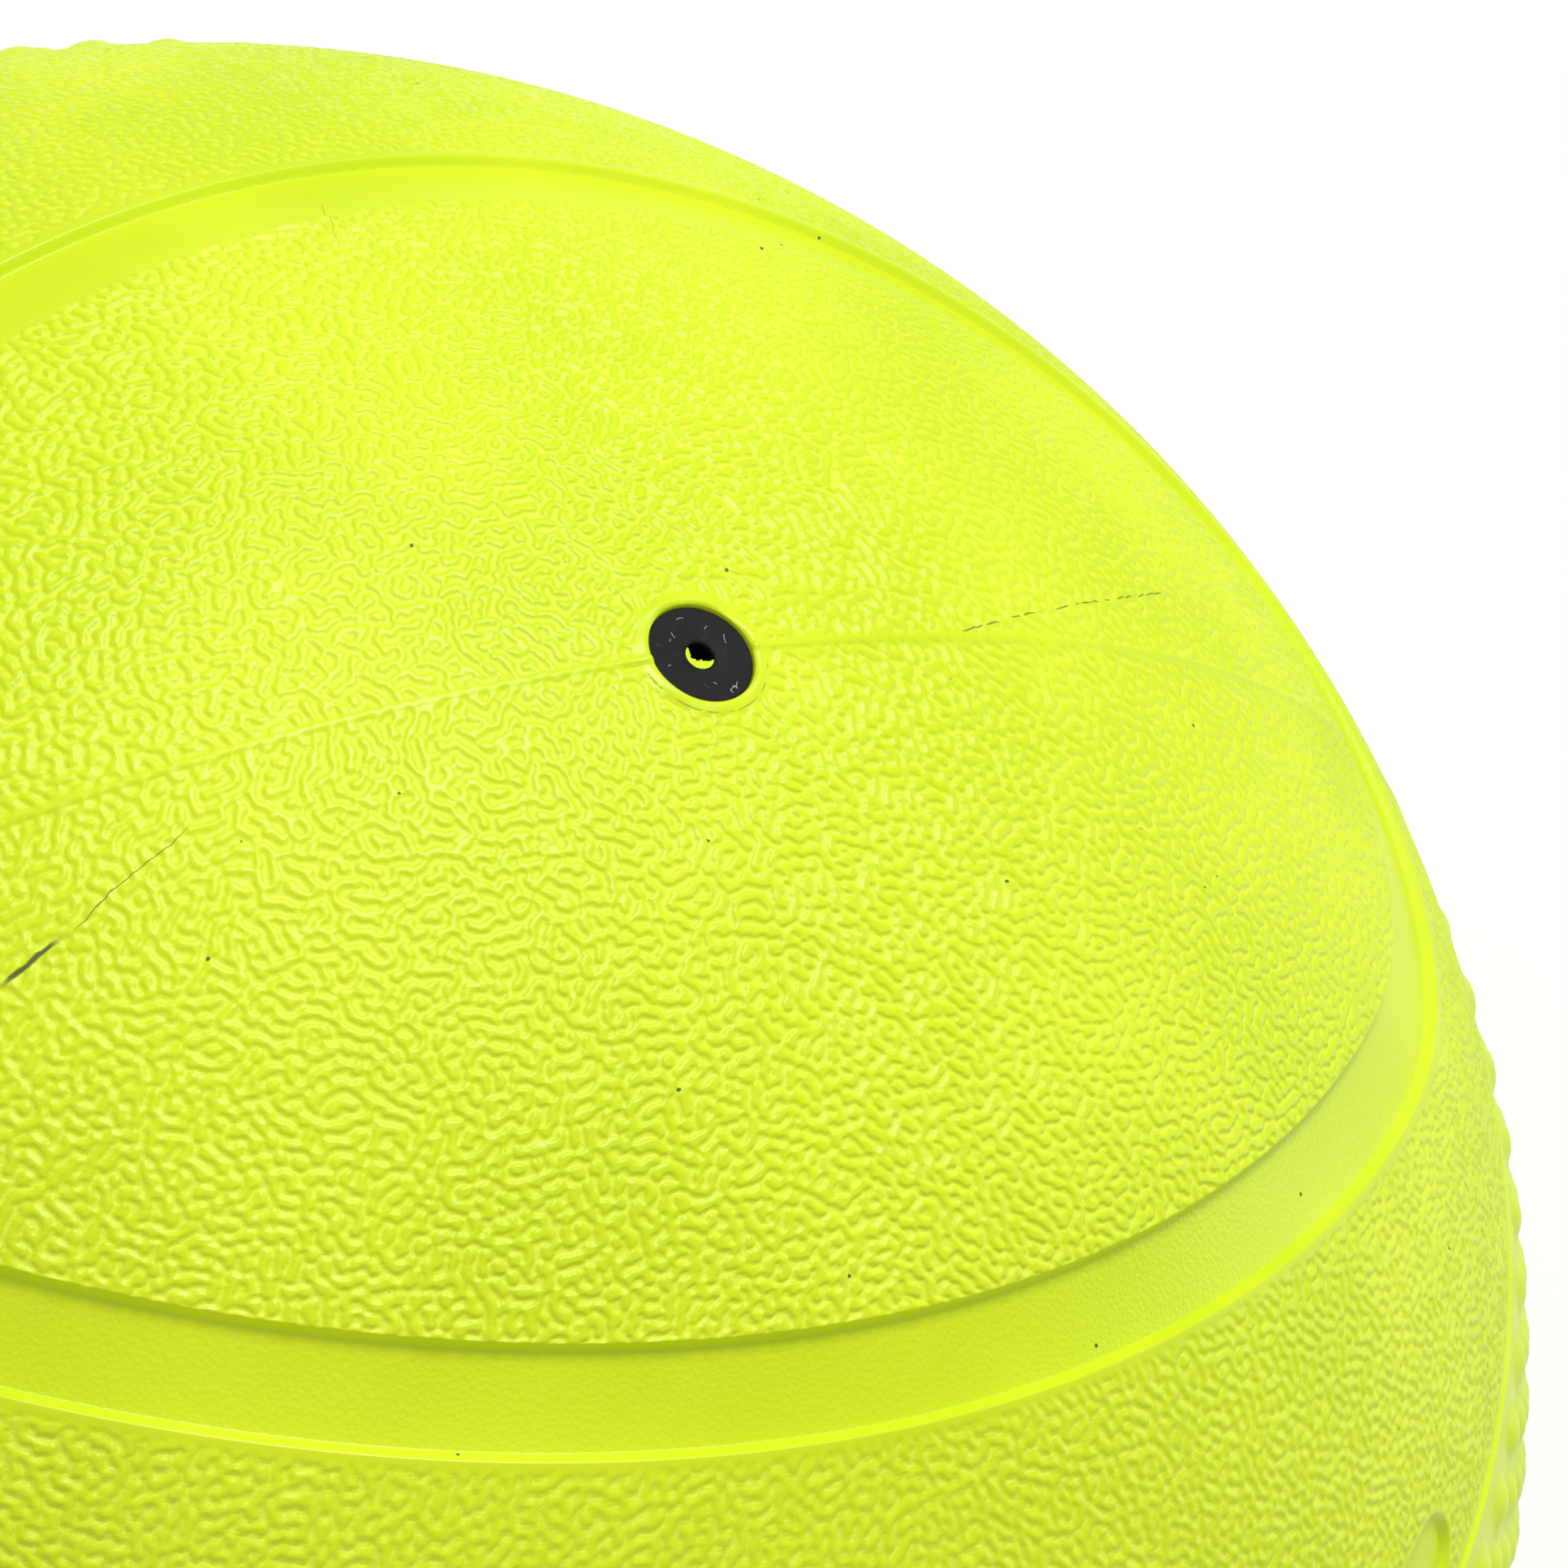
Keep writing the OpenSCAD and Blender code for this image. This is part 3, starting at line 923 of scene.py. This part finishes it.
# %% The valve's material
valve = Shader("valve_rubber", IOR=1.3)
bloom = valve.noise(2.2, detail=4.0)
powder = valve.noise(0.12, detail=2.0)
scuff_places = valve.noise(0.9, detail=3.0, roughness=0.7)
scuffs = scuff_places.step(0.66, 0.72) * powder.step(0.45, 0.6)
colour = valve.blend(bloom.step(0.3, 0.75), (0.004, 0.0045, 0.005, 1.0), (0.009, 0.010, 0.011, 1.0))
colour = valve.blend(scuffs * 0.5, colour, (0.13, 0.13, 0.13, 1.0))
valve.set(Base_Color=colour, Roughness=0.55 + bloom * 0.2)
valve.bump(powder, 0.35, 0.04)
plug.data.materials.append(valve.material)

# %% [markdown]
# ## Lint on the valve
#
# A few short hairs and threads cling to the valve's face and rim. Each is a bent two-sided strip made
# from one stretched square, fine enough to be seen only close up.

# %% Scatter the lint
LINT = [(-1.6, 1.9, 105, 0.5), (-2.0, 1.5, 62, 0.25), (1.3, 2.2, 35, 0.4), (2.5, 1.1, 80, 0.8),
        (0.2, -2.5, 140, 0.3), (-2.9, -0.6, 15, 0.3), (-0.5, 3.2, 5, 0.6), (1.5, -3.1, 30, 0.8),
        (1.9, -2.9, 65, 0.6), (1.3, -3.3, 100, 0.4), (1.7, -3.0, 140, 0.45)]
LINT_WIDTH = 0.045
lint_parts = []
for x, y, turn, length in LINT:
    clear_selection()
    bpy.ops.mesh.primitive_grid_add(x_subdivisions=6, y_subdivisions=1, size=1.0)
    hair = bpy.context.object
    for vertex in hair.data.vertices:
        along = vertex.co.x
        bend = 0.35 * length * (0.25 - along * along)
        side = vertex.co.y * LINT_WIDTH + bend
        cosine, sine = math.cos(math.radians(turn)), math.sin(math.radians(turn))
        reach = along * length
        arch = 0.01 + 0.03 * (0.25 - along * along)
        vertex.co = Vector((x + reach * cosine - side * sine, y + reach * sine + side * cosine,
                            FACE_Z + arch)) * MM
    lint_parts.append(hair)
clear_selection()
for hair in lint_parts:
    hair.select_set(True)
bpy.context.view_layer.objects.active = lint_parts[0]
bpy.ops.object.join()
lint = bpy.context.object
lint.name = "lint"
thick = lint.modifiers.new("thick", "SOLIDIFY")
thick.thickness = 0.03 * MM
bpy.ops.object.modifier_apply(modifier="thick")
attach(lint, "plug")
fibre = Shader("lint_fibre", Roughness=0.9)
fibre.set(Base_Color=fibre.blend(fibre.noise(0.4), (0.32, 0.32, 0.30, 1.0), (0.55, 0.52, 0.48, 1.0)))
lint.data.materials.append(fibre.material)
print(f"lint: {len(LINT)} hairs, {len(lint.data.polygons)} faces")

# %% [markdown]
# ## Finishes for the layers inside
#
# Under the cover lie the heavy rubber wall, wound yarn, the air bladder, its patch and the valve's
# housing. Their CAD shapes are right, so they stay, and each gets its own finish. They are seen when
# the ball is taken apart or cut open.

# %% Materials of the inner layers
def dress(nodes, shader):
    """Puts a material on every slot of the named CAD nodes."""
    for node in nodes:
        slots = bpy.data.objects[node].material_slots
        if not slots:
            bpy.data.objects[node].data.materials.append(shader.material)
        for slot in slots:
            slot.link = "OBJECT"
            slot.material = shader.material


# Heavy rubber wall: dark reclaimed rubber with pale mineral filler and torn-looking crumbs
wall = Shader("weighted_rubber", IOR=1.5)
crumbs = wall.cells(1.6)
filler = wall.noise(0.5, detail=3.0).step(0.62, 0.7)
wall_tone = wall.blend(wall.noise(18, detail=3.0), (0.022, 0.022, 0.024, 1.0), (0.045, 0.044, 0.042, 1.0))
wall_tone = wall.blend(filler * 0.6, wall_tone, (0.22, 0.21, 0.20, 1.0))
wall.set(Base_Color=wall_tone, Roughness=0.62 + crumbs * 0.25)
wall.bump(crumbs + wall.noise(0.6, detail=3.0) * 0.4, 0.6, 0.25)
dress(["wall_half_left", "wall_half_right"], wall)

# Wound yarn: three crossing sets of fine threads, as a winding machine lays them
yarn = Shader("yarn", IOR=1.45)
ridges = []
for direction in ((1.0, 0.25, 0.4), (-0.3, 1.0, 0.5), (0.35, -0.45, 1.0)):
    waver = yarn.noise(9.0, detail=2.0) * (2.4 * MM)
    thread = (yarn.dot(unit(*direction)) + waver) * (2 * math.pi / (0.9 * MM))
    ridges.append(abs(thread.sine()))
chosen_set = yarn.noise(5.0, detail=1.0)
first_two = ridges[0] * chosen_set.step(0.46, 0.52) + ridges[1] * chosen_set.step(0.52, 0.46)
threads = first_two.max(ridges[2] * yarn.noise(7.0, detail=1.0).step(0.55, 0.6))
# Darker in the gaps between the threads and lighter on their crests: painted shade
yarn_tone_with_gap_shade = yarn.blend(threads, (0.42, 0.38, 0.30, 1.0), (0.80, 0.76, 0.66, 1.0))
yarn.set(Base_Color=yarn_tone_with_gap_shade, Roughness=0.9)
yarn.bump(threads + yarn.noise(0.2, detail=2.0) * 0.4, 0.8, 0.2)
dress(["yarn_winding"], yarn)

# Butyl bladder: smooth black rubber with talc dust
butyl = Shader("butyl", IOR=1.5)
talc = butyl.noise(8.0, detail=5.0, roughness=0.65)
dust = butyl.blend(talc.step(0.5, 0.75) * 0.5, (0.012, 0.012, 0.013, 1.0), (0.30, 0.30, 0.29, 1.0))
butyl.set(Base_Color=dust, Roughness=0.34 + talc * 0.4)
butyl.bump(butyl.noise(1.2, detail=4.0), 0.25, 0.1)
dress(["air_bladder"], butyl)

# The patch: brown-grey rubber with buffing marks round it
patch = Shader("patch_rubber", IOR=1.5)
marks = patch.noise(0.7, detail=4.0, roughness=0.7)
buffed = patch.blend(marks, (0.07, 0.06, 0.05, 1.0), (0.17, 0.15, 0.13, 1.0))
patch.set(Base_Color=buffed, Roughness=0.6 + marks * 0.25)
patch.bump(marks, 0.4, 0.12)
dress(["bladder_patch"], patch)

# The housing: moulded rubber with a faint satin
housing = Shader("housing_rubber", IOR=1.5)
satin = housing.noise(1.5, detail=4.0)
housing.set(Base_Color=housing.blend(satin, (0.018, 0.018, 0.020, 1.0), (0.040, 0.040, 0.043, 1.0)),
            Roughness=0.42 + satin * 0.2)
housing.bump(housing.noise(0.25, detail=2.0), 0.3, 0.05)
dress(["valve_housing"], housing)
print("inner layers dressed")
